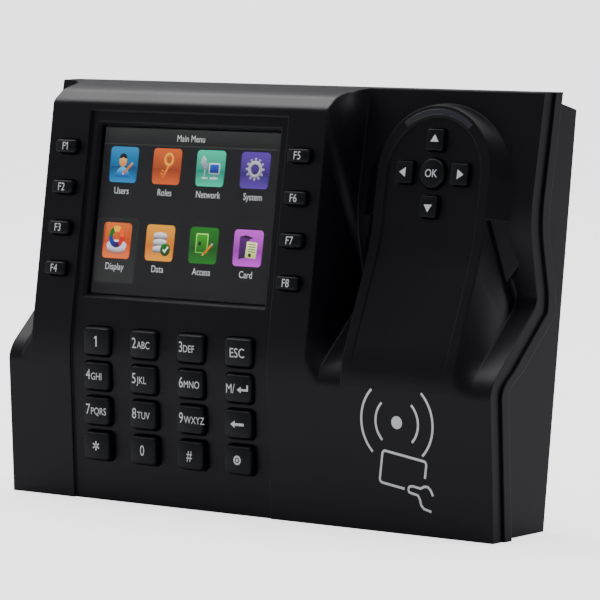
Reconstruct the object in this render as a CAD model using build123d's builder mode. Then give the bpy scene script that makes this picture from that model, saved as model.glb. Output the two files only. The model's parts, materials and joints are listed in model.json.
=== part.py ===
from build123d import *

import os
from math import cos, radians, sin, sqrt, tan

os.makedirs("parts", exist_ok=True)

# Sizes in mm. X runs to the right of someone facing the terminal, Y into it and Z up.
# Z = 0 is the flat base and the origin is the middle of the base.

# Casing
case_width = 187.4
case_height = 131.3
base_depth = 29.5          # front to back along the flat base
back_lean = 7.5            # degrees the back leans away from upright
wall = 2.4
back_wall = 4.0            # carries the pocket for the wall plate
band = 4.8                 # side band of the front cover, square to its face
rim = 3.5                  # rim of the rear housing behind that band
rim_stand = 0.9            # how far the rim stands out past the front cover
rear_inset = 2.2           # rear box inside the front cover's width
rear_drop = 3.2            # rear box top below the case top
rear_fall = 2.6            # further fall of that top to the back

# Side outline of the case: the chin is its lower front corner, above it a ramp to the waist
chin_z, chin_out = 46.0, 2.0
waist_z, waist_in = 69.0, 22.8
chest_below = 38.3         # chest line under the case top
chest_depth = 23.6         # chest in front of the back
top_depth = 21.1           # top edge in front of the back

# Display pod
pod_side = 9.7             # cheek left of the pod
pod_width = 109.5
pod_bend_z = 49.0
pod_tilt = 8.64
brow_below = 6.1           # brow edge under the case top
pod_foot = 4.5             # run-out of the pod's side walls
panel_left, panel_width = 16.0, 79.0
panel_below = 8.7
panel_recess = 0.8

# Display: a 3.5 inch 4:3 panel
lit_width, lit_height = 70.08, 52.56
screen_below = 39.6        # its centre under the case top
screen_left = 55.6         # its centre from the pod's left edge
window_set = 1.2           # window behind the recessed panel
window_thick = 0.8
window_margin = 2.4
frame_thick = 4.4
lcd_thick = 1.0

# Keys
key_travel = 1.2
key_gap = 0.3              # running gap round every key
flange, flange_lip = 1.0, 0.65
plunger = 0.9
stop_gap = 0.2             # left between plunger and switch at full press
switch_height = 1.5
board = 1.6
pad_key_w, pad_key_h = 10.6, 9.0
pad_pitch_x, pad_pitch_z = 18.93, 11.03
pad_centre_z = 34.0
pad_proud = 2.55           # key tops in front of the foot of the case
land_front, land_thick = 2.92, 4.6   # key tops to the front and back of the land their flanges rest on
fn_w, fn_h, fn_proud = 8.4, 4.2, 2.0
fn_pitch = 12.97
fn_inset = 8.3             # column centre inside each pod edge
nav_radius = 10.07
ok_radius = 4.6
arrow_w, arrow_h = 6.2, 6.5
nav_proud = 1.5

# Tongue with the four arrows, running down into the card platform
tongue_from_right = 34.0
tongue_half = 20.6
tongue_foot = 26.5
tongue_tilt = 10.0
tongue_depth = 4.25        # face of the tongue in front of the case face
nav_below = 24.6           # its centre under the case top
tongue_knee_above = 36.0
recess_half, recess_depth = 17.2, 0.6
lamp_inner, lamp_outer, lamp_half_angle = 18.0, 19.5, 39.0

# Insides
board_stand = 9.0          # main board in front of the back
post_radius = 2.6
screw_shank, screw_head = 1.5, 2.8
case_screw_x, case_screw_low, case_screw_high = 81.0, 9.0, 119.5
plate_width, plate_height, plate_thick = 120.0, 92.0, 1.5
plate_gap = 0.15
plate_circle = 100.0
cable_w, cable_h = 46.0, 24.0
plug_radius = 5.2

board_screw, board_head = 1.0, 1.9
case_skin = 1.4            # left in front of the case screws' pilot holes
case_head_at = 6.0         # seat of the case screws in front of the back
plug_y, plug_z = 15.75, 88.0
cable_x, cable_y = -8.0, 40.0
plate_y = 66.0
lock_y, lock_out, lock_head_at = 20.75, 8.5, 16.75
tab_w, tab_thick = 16.0, 1.5
speaker_x, speaker_y = 44.0, 1.5
ok_web = 2.35              # from the middle button to the hollow ends of the arrow keys
mat_thick = 1.0
nav_drop = 0.3             # taller switches keep the arrow board clear of the case wall
pad_corner, fn_corner = 1.3, 0.8
card_z = 25.0
main_x, main_y, main_w, main_h = -28.0, 72.0, 96.0, 92.0
window_w, window_h = lit_width + 2 * window_margin, lit_height + 2 * window_margin

half = case_width / 2
foot_y, back_foot_y = -base_depth / 2, base_depth / 2
pod_x0, pod_x1 = -half + pod_side, -half + pod_side + pod_width
screen_x, screen_z = pod_x0 + screen_left, case_height - screen_below
tongue_x, nav_z = half - tongue_from_right, case_height - nav_below


def back_y(z):
    """Depth of the leaning back at a height."""
    return back_foot_y + z * tan(radians(back_lean))


def blended(line, z):
    """Depth of an outline at a height: straight runs with a parabola across each corner."""
    for (y0, z0, _), (y1, z1, h), (y2, z2, _) in zip(line, line[1:], line[2:]):
        if abs(z - z1) < h:
            t = (z - z1 + h) / (2 * h)
            low = y1 + (y0 - y1) * h / (z1 - z0)
            high = y1 + (y2 - y1) * h / (z2 - z1)
            return (1 - t) ** 2 * low + 2 * t * (1 - t) * y1 + t * t * high
    run = next((i for i in range(1, len(line)) if z <= line[i][1]), len(line) - 1)
    (y0, z0, _), (y1, z1, _) = line[run - 1], line[run]
    return y0 + (y1 - y0) * (z - z0) / (z1 - z0)


# Outlines from base to top as (depth, height, half height of the corner blend)
chest_z, brow_z = case_height - chest_below, case_height - brow_below
case_line = [
    (foot_y, 0, 0),
    (foot_y - chin_out, chin_z, 3.6),
    (foot_y + waist_in, waist_z, 3.2),
    (back_y(chest_z) - chest_depth, chest_z, 8.0),
    (back_y(case_height) - top_depth, case_height, 0),
]
bend_y = foot_y - chin_out * pod_bend_z / chin_z
brow_y = bend_y + (brow_z - pod_bend_z) * tan(radians(pod_tilt))
pod_line = [
    (foot_y, 0, 0),
    (bend_y, pod_bend_z, 7.0),
    (brow_y, brow_z, 0.9),
    (brow_y + 5.6, brow_z + 4.1, 1.2),
    (brow_y + 17.0, case_height, 0),
]
bend_top = pod_bend_z - 2.5
knee_z = pod_bend_z + tongue_knee_above
nav_y = blended(case_line, nav_z) - tongue_depth
knee_y = nav_y - (nav_z - knee_z) * tan(radians(tongue_tilt))
tongue_line = [
    (foot_y, 0, 0),
    (bend_y, pod_bend_z, 6.0),
    (knee_y, knee_z, 6.0),
    (nav_y + nav_below * tan(radians(tongue_tilt)), case_height, 0),
]


def face_y(line, z, inset=0.0):
    """The same, pushed back by inset square to the outline."""
    slope = (blended(line, z + 1e-4) - blended(line, z - 1e-4)) / 2e-4
    return blended(line, z) + inset * sqrt(1 + slope * slope)


def side_face(x, line, partner, inset, low, high, back):
    """Side section at one station across the width, cut at the corners of both outlines."""
    cuts = {low, high}
    for _, z, h in sorted(line[1:-1] + partner[1:-1], key=lambda corner: corner[1:]):
        for cut in (z - h, z, z + h):
            if all(abs(cut - other) > 0.5 for other in cuts) and low < cut < high:
                cuts.add(cut)
    cuts = sorted(cuts)
    with BuildSketch(Plane.YZ.offset(x)) as section:
        with BuildLine():
            for a, b in zip(cuts, cuts[1:]):
                ya, yb = face_y(line, a, inset), face_y(line, b, inset)
                middle = (a + b) / 2
                pull = 2 * face_y(line, middle, inset) - (ya + yb) / 2
                if abs(pull - (ya + yb) / 2) < 0.01:
                    Line((ya, a), (yb, b))
                else:
                    Bezier((ya, a), (pull, middle), (yb, b))
            top, foot = face_y(line, high, inset), face_y(line, low, inset)
            Polyline((top, high), (back_y(high) - back, high), (back_y(low) - back, low), (foot, low))
        make_face()
    return section.sketch


def slab(x0, x1, line, inset=0.0, low=0.0, high=case_height, back=0.0):
    """Solid with one side section between two stations."""
    with BuildPart() as piece:
        extrude(side_face(x0, line, line, inset, low, high, back), amount=x1 - x0, dir=(1, 0, 0))
    return piece.part


def flank(x0, line0, x1, line1, inset=0.0, low=0.0, high=case_height, back=0.0):
    """Solid that passes straight from one side section to another."""
    with BuildPart() as piece:
        ends = [side_face(x0, line0, line1, inset, low, high, back),
                side_face(x1, line1, line0, inset, low, high, back)]
        loft([end.face() for end in ends], ruled=True)
    return piece.part


def arch(plane, radius, centre, leg):
    """Arch with straight legs, as a face on a plane."""
    with BuildSketch(plane) as outline:
        with Locations((0, centre)):
            Circle(radius)
        with Locations((0, leg)):
            Rectangle(2 * radius, centre - leg, align=(Align.CENTER, Align.MIN))
    return outline.sketch


BACK = Plane(origin=(0, back_foot_y, 0), x_dir=(1, 0, 0),
             z_dir=(0, -cos(radians(back_lean)), sin(radians(back_lean))))
PANEL = Plane(origin=(screen_x, blended(pod_line, screen_z), screen_z), x_dir=(1, 0, 0),
              z_dir=(0, -cos(radians(pod_tilt)), sin(radians(pod_tilt))))
NAV = Plane(origin=(tongue_x, nav_y, nav_z), x_dir=(1, 0, 0),
            z_dir=(0, -cos(radians(tongue_tilt)), sin(radians(tongue_tilt))))
PAD = Plane(origin=(screen_x, foot_y - pad_proud, pad_centre_z), x_dir=(1, 0, 0), z_dir=(0, -1, 0))


def hull():
    """The sculpted body, solid."""
    leg_top = nav_z - 12
    left, right = tongue_x - tongue_half, tongue_x + tongue_half
    run_out = tongue_foot - tongue_half
    pieces = [
        slab(-half, half, case_line),
        slab(pod_x0, pod_x1, pod_line),
        flank(pod_x1, pod_line, pod_x1 + pod_foot, case_line),
        flank(pod_x0 - pod_foot, case_line, pod_x0, pod_line),
        slab(left, right, tongue_line, high=leg_top),
        flank(left - run_out, case_line, left, tongue_line, high=leg_top),
        flank(right, tongue_line, right + run_out, case_line, high=leg_top),
    ]
    ends = [arch(NAV, tongue_half, 0, -13),
            arch(NAV.offset(-2 * tongue_depth), tongue_half + 2 * run_out, -10, -13)]
    with BuildPart() as piece:
        add(pieces)
        loft([end.face() for end in ends], ruled=True)
    return piece.part


def hollow(high, back):
    """The space inside the hull, a wall in from its face."""
    inside = dict(inset=wall, low=wall, back=back)
    left, right = tongue_x - tongue_half + wall, tongue_x + tongue_half - wall
    pieces = [
        slab(-half + wall, half - wall, case_line, high=high, **inside),
        slab(pod_x0 + wall, pod_x1 - wall, pod_line, high=high, **inside),
        slab(left, right, tongue_line, high=nav_z - 12, **inside),
    ]
    with BuildPart() as piece:
        add(pieces)
        extrude(arch(NAV.offset(-wall), tongue_half - wall, 0, -15), amount=tongue_depth + 3,
                dir=NAV.z_dir * -1)
    return piece.part


def finish(piece, name):
    """Names a finished piece and writes it."""
    piece.part.label = name
    export_step(piece.part, f"parts/{name}.step")


def place(plane, x, y, w=0.0):
    """A plane moved to a point of itself, w in front."""
    return Plane(origin=plane.from_local_coords((x, y, w)), x_dir=plane.x_dir, z_dir=plane.z_dir)


def turned(plane):
    """The same plane facing the other way."""
    return Plane(origin=plane.origin, x_dir=plane.x_dir, z_dir=plane.z_dir * -1)


def block(plane, w, h, front, depth, radius=0.0):
    """A bar from front back by depth, centred on a plane."""
    with BuildPart() as piece:
        with BuildSketch(plane.offset(front)):
            if radius:
                RectangleRounded(w, h, radius)
            else:
                Rectangle(w, h)
        extrude(amount=-depth)
    return piece.part


def rod(plane, radius, front, depth):
    """A round bar from front back by depth."""
    with BuildPart() as piece:
        with BuildSketch(plane.offset(front)):
            Circle(radius)
        extrude(amount=-depth)
    return piece.part


def screw(plane, length, shank=board_screw, head=board_head):
    """A pan-head screw whose head sits on a plane."""
    return [rod(plane, head, 0.9 * head, 0.9 * head), rod(plane, shank, 0, length)]


# Key positions
pad_names = ["1", "2", "3", "esc", "4", "5", "6", "menu", "7", "8", "9", "back", "star", "0", "hash", "power"]
pad_keys = {
    f"key_{name}": place(PAD, (index % 4 - 1.5) * pad_pitch_x, (1.5 - index // 4) * pad_pitch_z)
    for index, name in enumerate(pad_names)
}
fn_columns = (fn_inset - screen_left, pod_width - screen_left - fn_inset)
fn_keys = {
    f"key_f{side * 4 + row + 1}": place(PANEL, x, (1.5 - row) * fn_pitch)
    for side, x in enumerate(fn_columns) for row in range(4)
}
nav_keys = {
    name: place(NAV, nav_radius * dx, nav_radius * dy)
    for name, dx, dy in (("key_up", 0, 1), ("key_down", 0, -1), ("key_left", -1, 0), ("key_right", 1, 0))
}


def arrow(plane, grow, front, depth):
    """An arrow key body, hollowed round the middle button."""
    with BuildPart() as piece:
        with BuildSketch(plane.offset(front)):
            RectangleRounded(arrow_w + 2 * grow, arrow_h + 2 * grow, 0.8)
        extrude(amount=-depth)
        with BuildSketch(NAV.offset(front)):
            Circle(ok_radius + ok_web - grow)
        extrude(amount=-depth, mode=Mode.SUBTRACT)
    return piece.part


def lamp(grow, front, depth):
    """Curved bar over the arrow keys."""
    with BuildPart() as piece:
        with BuildSketch(NAV.offset(front)):
            Circle(lamp_outer + grow)
            Circle(lamp_inner - grow, mode=Mode.SUBTRACT)
            reach = 40 * tan(radians(lamp_half_angle)) + grow
            Polygon((0, 0), (reach, 40), (-reach, 40), align=None, mode=Mode.INTERSECT)
        extrude(amount=-depth)
    return piece.part


# Where boards sit behind the keys: flange, plunger, travel, a gap and the switch
key_stack = flange + plunger + key_travel + stop_gap + switch_height
pad_board_at = land_thick + key_stack + mat_thick
fn_board_at = wall + key_stack
nav_board_at = fn_board_at + nav_drop
card_board_at = 5.0
CARD = Plane(origin=(tongue_x, foot_y, card_z), x_dir=(1, 0, 0), z_dir=(0, -1, 0))
pad_posts = [place(PAD, sx * 36.5, sy * 23.4) for sx in (-1, 1) for sy in (-1, 1)]
fn_posts = [place(PANEL, x, sy * fn_pitch) for x in fn_columns for sy in (-1, 1)]
nav_posts = [place(NAV, sx * 12.5, sy * 12.5) for sx in (-1, 1) for sy in (-1, 1)]
card_posts = [place(CARD, sx * 13.5, sy * 16.5) for sx in (-1, 1) for sy in (-1, 1)]
main_centre = place(BACK, main_x, main_y)
main_posts = [place(main_centre, sx * (main_w / 2 - 4), sy * (main_h / 2 - 4))
              for sx in (-1, 1) for sy in (-1, 1)]
case_points = [place(BACK, sx * case_screw_x, y) for sx in (-1, 1) for y in (case_screw_low, case_screw_high)]


def pilot_reach(spot):
    """Depth of a case screw's hole, square to the back, that leaves the skin of the case face whole."""
    ahead = base_depth
    for _ in range(8):
        z = spot.origin.Z + ahead * sin(radians(back_lean))
        ahead = (spot.origin.Y - blended(case_line, z)) / cos(radians(back_lean))
    return ahead - case_skin


case_reach = [pilot_reach(spot) for spot in case_points]

hull_part = hull()
front_hollow = hollow(case_height - wall, -5.0)
behind_band = slab(-half - 5, half + 5, case_line, inset=band, low=-5, high=case_height + 5, back=-5)

# Front cover
panel_x = pod_x0 + panel_left
panel_floor = slab(panel_x - 1, panel_x + panel_width + 1, pod_line, inset=panel_recess, low=-2)
with BuildPart() as panel_cut:
    with BuildSketch(Plane.XZ.offset(40)):
        with Locations((panel_x, -1)):
            Rectangle(panel_width, case_height - panel_below + 1, align=(Align.MIN, Align.MIN))
    extrude(amount=-60)
    add(panel_floor, mode=Mode.SUBTRACT)
recess_line = [
    *tongue_line[:2],
    (knee_y + recess_depth, knee_z, 6.0),
    (tongue_line[-1][0] + recess_depth, case_height, 0),
]
recess_floor = slab(tongue_x - 30, tongue_x + 30, recess_line, low=-2)
recess_arch = arch(NAV.offset(30), recess_half, 0, (bend_top - nav_z) / cos(radians(tongue_tilt)))
with BuildPart() as tongue_cut:
    extrude(recess_arch, amount=60, dir=NAV.z_dir * -1)
    add(recess_floor, mode=Mode.SUBTRACT)
window_seat = block(PANEL, window_w + 0.2, window_h + 0.2, -panel_recess - window_set, 3)
with BuildPart() as window_cut:
    with BuildSketch(PANEL.offset(-panel_recess - window_set)):
        Rectangle(lit_width + 1.2, lit_height + 1.2)
    extrude(amount=6, taper=-40)
    add(window_seat)
posts = (
    [rod(spot, 1.9, -land_thick, pad_board_at - land_thick) for spot in pad_posts]
    + [rod(spot, 1.9, -wall, fn_board_at - wall) for spot in fn_posts]
    + [rod(spot, 1.9, -wall, nav_board_at - wall) for spot in nav_posts]
)
card_rods = [rod(spot, post_radius, 5, card_board_at + 5) for spot in card_posts]
case_rods = [rod(spot, 3.6, 70, 66) for spot in case_points]
with BuildPart() as inner_rods:
    add(card_rods + case_rods)
    add(front_hollow, mode=Mode.INTERSECT)
key_land = block(place(PAD, 0, 1), 4 * pad_pitch_x, 4 * pad_pitch_z + 4, -land_front, land_thick - land_front)
key_holes = [block(spot, pad_key_w + 2 * key_gap, pad_key_h + 2 * key_gap, 3, land_thick + 3.5,
                   pad_corner + key_gap) for spot in pad_keys.values()]
key_holes += [block(spot, fn_w + 2 * key_gap, fn_h + 2 * key_gap, 3, wall + 3.5, fn_corner + key_gap)
              for spot in fn_keys.values()]
key_holes += [arrow(spot, key_gap, 3, wall + 3.5) for spot in nav_keys.values()]
key_holes += [rod(NAV, ok_radius + key_gap, 3, wall + 3.5), lamp(0.1, 2, 10)]
board_holes = [(spot, pad_board_at) for spot in pad_posts] + [(spot, card_board_at) for spot in card_posts]
board_holes += [(spot, fn_board_at) for spot in fn_posts] + [(spot, nav_board_at) for spot in nav_posts]
board_pilots = [rod(spot, board_screw, -at + 3.2, 4.2) for spot, at in board_holes]
case_pilots = [rod(spot, screw_shank, reach, reach) for spot, reach in zip(case_points, case_reach)]
with BuildPart() as front_cover:
    add(hull_part)
    add(front_hollow, mode=Mode.SUBTRACT)
    add(key_land)
    add(posts)
    add(inner_rods.part)
    add(behind_band, mode=Mode.SUBTRACT)
    add([panel_cut.part, tongue_cut.part, window_cut.part], mode=Mode.SUBTRACT)
    add(key_holes + board_pilots + case_pilots, mode=Mode.SUBTRACT)
finish(front_cover, "front_cover")

# Rear housing
box_x = half - rear_inset
roof = case_height - rear_drop
rim_outer = slab(-half - rim_stand, half + rim_stand, case_line, inset=band)
rim_inner = slab(-half - 5, half + 5, case_line, inset=band + rim, low=-5, high=case_height + 5, back=-5)
rear_box = slab(-box_x, box_x, case_line, inset=band + rim - 1, high=roof)
roof_back = back_y(roof)
with BuildPart() as roof_cut:
    with BuildSketch(Plane.YZ.offset(-box_x - 1)):
        with BuildLine():
            Polyline((roof_back - 10, roof), (roof_back + 5, roof - 1.5 * rear_fall),
                     (roof_back + 5, roof + 5), (roof_back - 10, roof + 5), close=True)
        make_face()
    extrude(amount=2 * box_x + 2)
rear_space = slab(-box_x + wall, box_x - wall, case_line, inset=band - 1, low=wall,
                  high=roof - rear_fall - wall, back=back_wall)
pillars = [rod(spot, 4.2, 70, 68) for spot in case_points]
pillar_zone = slab(-box_x + 1, box_x - 1, case_line, inset=band, low=1, high=roof - rear_fall, back=2)
with BuildPart() as rear_pillars:
    add(pillars)
    add(pillar_zone, mode=Mode.INTERSECT)
standoffs = [rod(spot, post_radius, board_stand, board_stand - 3) for spot in main_posts]
SIDE = Plane(origin=(box_x, plug_y, plug_z), x_dir=(0, 1, 0), z_dir=(1, 0, 0))
LOCK = Plane(origin=BACK.from_local_coords((0, lock_y, lock_out)), x_dir=(1, 0, 0), z_dir=BACK.y_dir * -1)
plate_at = place(BACK, 0, plate_y)
cable_at = place(BACK, cable_x, cable_y)
rear_cuts = [
    block(plate_at, plate_width + 2 * plate_gap, plate_height + 2 * plate_gap, plate_thick,
          plate_thick + 5, 4),
    block(cable_at, cable_w, cable_h, back_wall + 1, 8, 2),
    block(place(BACK, 0, lock_y), tab_w + 0.6, tab_thick + 0.6, back_wall + 1, 8),
    rod(LOCK, screw_shank + 0.2, 40, 38.5),
    rod(LOCK, screw_head + 0.3, 40, 40 - lock_head_at),
    rod(SIDE, plug_radius, 0.6, 6),
]
rear_cuts += [rod(spot, screw_shank, reach, 40) for spot, reach in zip(case_points, case_reach)]
rear_cuts += [rod(spot, screw_head + 0.3, case_head_at, 10) for spot in case_points]
rear_cuts += [rod(spot, board_screw, board_stand, 4.0) for spot in main_posts]
speaker_at = Plane(origin=(speaker_x, speaker_y, wall), x_dir=(1, 0, 0), z_dir=(0, 0, 1))
rear_cuts += [rod(place(speaker_at, 3.4 * cos(radians(a)), 3.4 * sin(radians(a))), 0.8, 1, 5)
              for a in range(0, 360, 60)] + [rod(speaker_at, 0.8, 1, 5)]
with BuildPart() as rear_housing:
    add(rim_outer)
    add(rim_inner, mode=Mode.SUBTRACT)
    add(rear_box)
    add(roof_cut.part, mode=Mode.SUBTRACT)
    add(rear_space, mode=Mode.SUBTRACT)
    add(rear_pillars.part)
    add(standoffs)
    add(rear_cuts, mode=Mode.SUBTRACT)
finish(rear_housing, "rear_housing")

# Wall plate in the pocket of the back, its tab locked by a screw from below
plate_holes = [rod(place(plate_at, sx * plate_circle * sqrt(0.125), sy * plate_circle * sqrt(0.125)), 2.25, 5, 10)
               for sx in (-1, 1) for sy in (-1, 1)]
plate_sheet = block(plate_at, plate_width, plate_height, plate_thick, plate_thick, 4)
plate_tab = block(place(BACK, 0, lock_y), tab_w, tab_thick, lock_out + 4, lock_out + 4)
plate_cuts = plate_holes + [block(cable_at, cable_w + 2, cable_h + 2, 5, 10, 2),
                            rod(LOCK, screw_shank, 10, 20)]
with BuildPart() as wall_plate:
    add([plate_sheet, plate_tab])
    add(plate_cuts, mode=Mode.SUBTRACT)
finish(wall_plate, "wall_plate")

lock_pieces = [rod(LOCK, screw_head, lock_head_at + 2.2, 2.2),
               rod(LOCK, screw_shank, lock_head_at, lock_head_at + 3)]
with BuildPart() as lock_screw:
    add(lock_pieces)
finish(lock_screw, "lock_screw")

plug_pieces = [rod(SIDE, plug_radius - 0.1, 0.4, wall + 0.4), rod(SIDE, plug_radius + 1.2, -wall, 1.0)]
with BuildPart() as side_plug:
    add(plug_pieces)
finish(side_plug, "side_plug")

case_screw_pieces = []
for spot, reach in zip(case_points, case_reach):
    case_screw_pieces += screw(place(turned(spot), 0, 0, -case_head_at), reach - case_head_at - 1,
                               screw_shank, screw_head)
with BuildPart() as case_screws:
    add(case_screw_pieces)
finish(case_screws, "case_screws")

# Display
window_pane = block(PANEL, window_w, window_h, -panel_recess - window_set, window_thick)
with BuildPart() as display_window:
    add(window_pane)
finish(display_window, "display_window")

frame_front = -panel_recess - window_set - window_thick
lcd_w, lcd_h = lit_width + 3.0, lit_height + 3.2
lcd_glass = block(PANEL, lcd_w, lcd_h, frame_front, lcd_thick)
with BuildPart() as lcd_panel:
    add(lcd_glass)
finish(lcd_panel, "lcd_panel")

lcd_tray = block(PANEL, window_w + 2.2, window_h + 4.0, frame_front, frame_thick)
lcd_room = block(PANEL, lcd_w + 0.2, lcd_h + 0.2, frame_front, lcd_thick)
with BuildPart() as lcd_frame:
    add(lcd_tray)
    add(lcd_room, mode=Mode.SUBTRACT)
finish(lcd_frame, "lcd_frame")


# Keys: a cap through its opening, a flange that rests inside the cover and a plunger
def key(name, cap, lip, spot, rest):
    pieces = [cap, lip, rod(spot, 1.5, -rest - flange, plunger)]
    with BuildPart() as one_key:
        add(pieces)
    finish(one_key, name)


for name, spot in pad_keys.items():
    key(name, block(spot, pad_key_w, pad_key_h, 0, land_thick, pad_corner),
        block(spot, pad_key_w + 2 * flange_lip, pad_key_h + 2 * flange_lip, -land_thick, flange),
        spot, land_thick)
for name, spot in fn_keys.items():
    key(name, block(spot, fn_w, fn_h, fn_proud, fn_proud + wall, fn_corner),
        block(spot, fn_w + 2 * flange_lip, fn_h + 2 * flange_lip, -wall, flange), spot, wall)
nav_top = nav_proud - recess_depth
for name, spot in nav_keys.items():
    key(name, arrow(spot, 0, nav_top, nav_top + wall), arrow(spot, flange_lip, -wall, flange), spot, wall)
key("key_ok", rod(NAV, ok_radius, nav_top, nav_top + wall),
    rod(NAV, ok_radius + flange_lip, -wall, flange), NAV, wall)

lamp_at = 5.0
lamp_bar = lamp(0.0, 0.0, lamp_at)
with BuildPart() as light_pipe:
    add(lamp_bar)
finish(light_pipe, "light_pipe")
lamp_radius = (lamp_inner + lamp_outer) / 2
lamp_leds = [
    block(place(NAV, lamp_radius * sin(radians(a)), lamp_radius * cos(radians(a))), 1.1, 1.1, -lamp_at,
          nav_board_at - lamp_at)
    for a in (-26, 0, 26)
]
with BuildPart() as status_leds:
    add(lamp_leds)
finish(status_leds, "status_leds")


def circuit(name, plane, w, h, front, holes):
    """A board with clearance holes for its screws."""
    sheet = block(plane, w, h, front, board, 1.5)
    clear = [rod(spot, board_screw + 0.2, front + 5, board + 10) for spot in holes]
    with BuildPart() as one_board:
        add(sheet)
        add(clear, mode=Mode.SUBTRACT)
    finish(one_board, name)


def group(name, pieces):
    """Several like solids written as one sub-part."""
    with BuildPart() as one_group:
        add(pieces)
    finish(one_group, name)


# Keypad mat, boards and switches
mat_front = -land_thick - key_stack
mat_sheet = block(PAD, 4 * pad_pitch_x - 9, 4 * pad_pitch_z - 1, mat_front, mat_thick)
mat_domes = [rod(spot, 3.2, mat_front + switch_height, switch_height) for spot in pad_keys.values()]
with BuildPart() as keypad_mat:
    add(mat_sheet)
    add(mat_domes)
finish(keypad_mat, "keypad_mat")
circuit("keypad_board", PAD, 4 * pad_pitch_x + 2, 4 * pad_pitch_z + 6, -pad_board_at, pad_posts)
for side, x in zip(("left", "right"), fn_columns):
    column = place(PANEL, x, 0)
    circuit(f"{side}_key_board", column, 11.0, 3 * fn_pitch + 7, -fn_board_at, fn_posts[2 * (side == "right"):][:2])
group("key_switches", [rod(spot, 1.9, -fn_board_at + switch_height, switch_height) for spot in fn_keys.values()]
      + [rod(spot, 1.9, -fn_board_at + switch_height, switch_height + nav_drop)
         for spot in [*nav_keys.values(), NAV]])
circuit("arrow_board", NAV, 34.0, 39.2, -nav_board_at, nav_posts)

# Card reader behind the platform
circuit("reader_board", CARD, 33.0, 40.0, -card_board_at, card_posts)
coil_out = block(CARD, 30.0, 26.0, -card_board_at + 0.4, 0.4, 3)
coil_in = block(CARD, 24.0, 20.0, -card_board_at + 1, 2, 2)
with BuildPart() as card_antenna:
    add(coil_out)
    add(coil_in, mode=Mode.SUBTRACT)
finish(card_antenna, "card_antenna")

# Main board on the back, with what it carries
circuit("main_board", main_centre, main_w, main_h, board_stand + board, main_posts)
top = board_stand + board
main_chips = [block(place(main_centre, x, y), w, h, top + 1.4, 1.4)
              for x, y, w, h in ((-8, 12, 17, 17), (12, 20, 9, 12), (12, 4, 9, 12), (-8, -10, 12, 9))]
group("board_chips", main_chips + [block(place(CARD, 4, -2), 9, 9, -card_board_at - board, 1.4)])
group("radio_shield", [block(place(main_centre, -32, 24), 15, 18, top + 2.4, 2.4)])
group("clock_cell", [rod(place(main_centre, 30, 30), 8.0, top + 3.2, 3.2)])
group("buzzer", [rod(place(main_centre, 34, -6), 6.0, top + 5.0, 5.0)])
group("capacitors", [rod(place(main_centre, x, -32), 3.0, top + 6.5, 6.5) for x in (-34, -26, 14, 22)])
terminals = block(place(main_centre, 14, -26), 26, 8, board_stand, 7.0)
terminal_ways = [block(place(main_centre, 14 + 5.0 * (i - 2), -26), 3.6, 5, board_stand - 5, 4) for i in range(5)]
with BuildPart() as terminal_block:
    add(terminals)
    add(terminal_ways, mode=Mode.SUBTRACT)
finish(terminal_block, "terminal_block")
group("network_socket", [block(place(main_centre, 34, -26), 11, 10, board_stand, 7.0)])
battery_at = place(BACK, 58.0, 42.0)
group("backup_battery", [block(battery_at, 48, 32, back_wall + 6, 6, 2)])
group("speaker", [rod(speaker_at, 8.0, 4.0, 4.0)])

# One kind of small screw holds every board
board_screw_pieces = []
for spot, at in board_holes:
    board_screw_pieces += screw(place(turned(spot), 0, 0, at + board), 2.6 + board)
for spot in main_posts:
    board_screw_pieces += screw(place(spot, 0, 0, top), 3.4 + board)
group("board_screws", board_screw_pieces)
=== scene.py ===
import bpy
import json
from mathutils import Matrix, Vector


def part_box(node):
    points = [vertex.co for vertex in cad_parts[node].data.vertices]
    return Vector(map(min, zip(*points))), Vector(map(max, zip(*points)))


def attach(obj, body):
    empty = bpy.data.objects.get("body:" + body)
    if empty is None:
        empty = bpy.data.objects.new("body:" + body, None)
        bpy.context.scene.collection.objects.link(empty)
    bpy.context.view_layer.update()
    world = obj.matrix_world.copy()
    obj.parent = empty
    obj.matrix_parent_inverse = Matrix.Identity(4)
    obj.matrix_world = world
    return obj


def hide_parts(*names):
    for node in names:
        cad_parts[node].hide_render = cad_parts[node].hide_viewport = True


bl_info = {
    "name": "Fingerprint Scanner Terminal",
    "version": (1, 0, 0),
    "blender": (4, 5, 0),
    "location": "3D View > Sidebar > Terminal",
    "description": "Builds the keys, legends, display and finishes of a wall terminal on its CAD frame",
    "category": "Object",
}

import json
import math

import bmesh
import bpy
from bpy.props import FloatProperty, FloatVectorProperty, IntProperty, PointerProperty
from mathutils import Matrix, Vector

MM = 0.001
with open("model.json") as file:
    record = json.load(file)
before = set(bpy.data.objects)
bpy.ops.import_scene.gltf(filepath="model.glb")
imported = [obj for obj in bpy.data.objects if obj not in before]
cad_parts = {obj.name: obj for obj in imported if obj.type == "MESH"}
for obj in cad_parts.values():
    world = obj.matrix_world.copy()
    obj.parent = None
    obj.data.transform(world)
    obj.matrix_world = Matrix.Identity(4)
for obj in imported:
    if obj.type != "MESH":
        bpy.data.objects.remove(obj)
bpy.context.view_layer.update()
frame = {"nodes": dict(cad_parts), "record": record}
nodes = frame["nodes"]

# Tilt of each face from upright, in degrees
PANEL_TILT, NAV_TILT, PAD_TILT, FOOT_TILT, BACK_TILT = 8.64, 10.0, 0.0, -2.49, 7.5
# Height of print above its face, and of one level of a drawing above the next
PRINT, LEVEL = 0.015 * MM, 0.02 * MM

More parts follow.
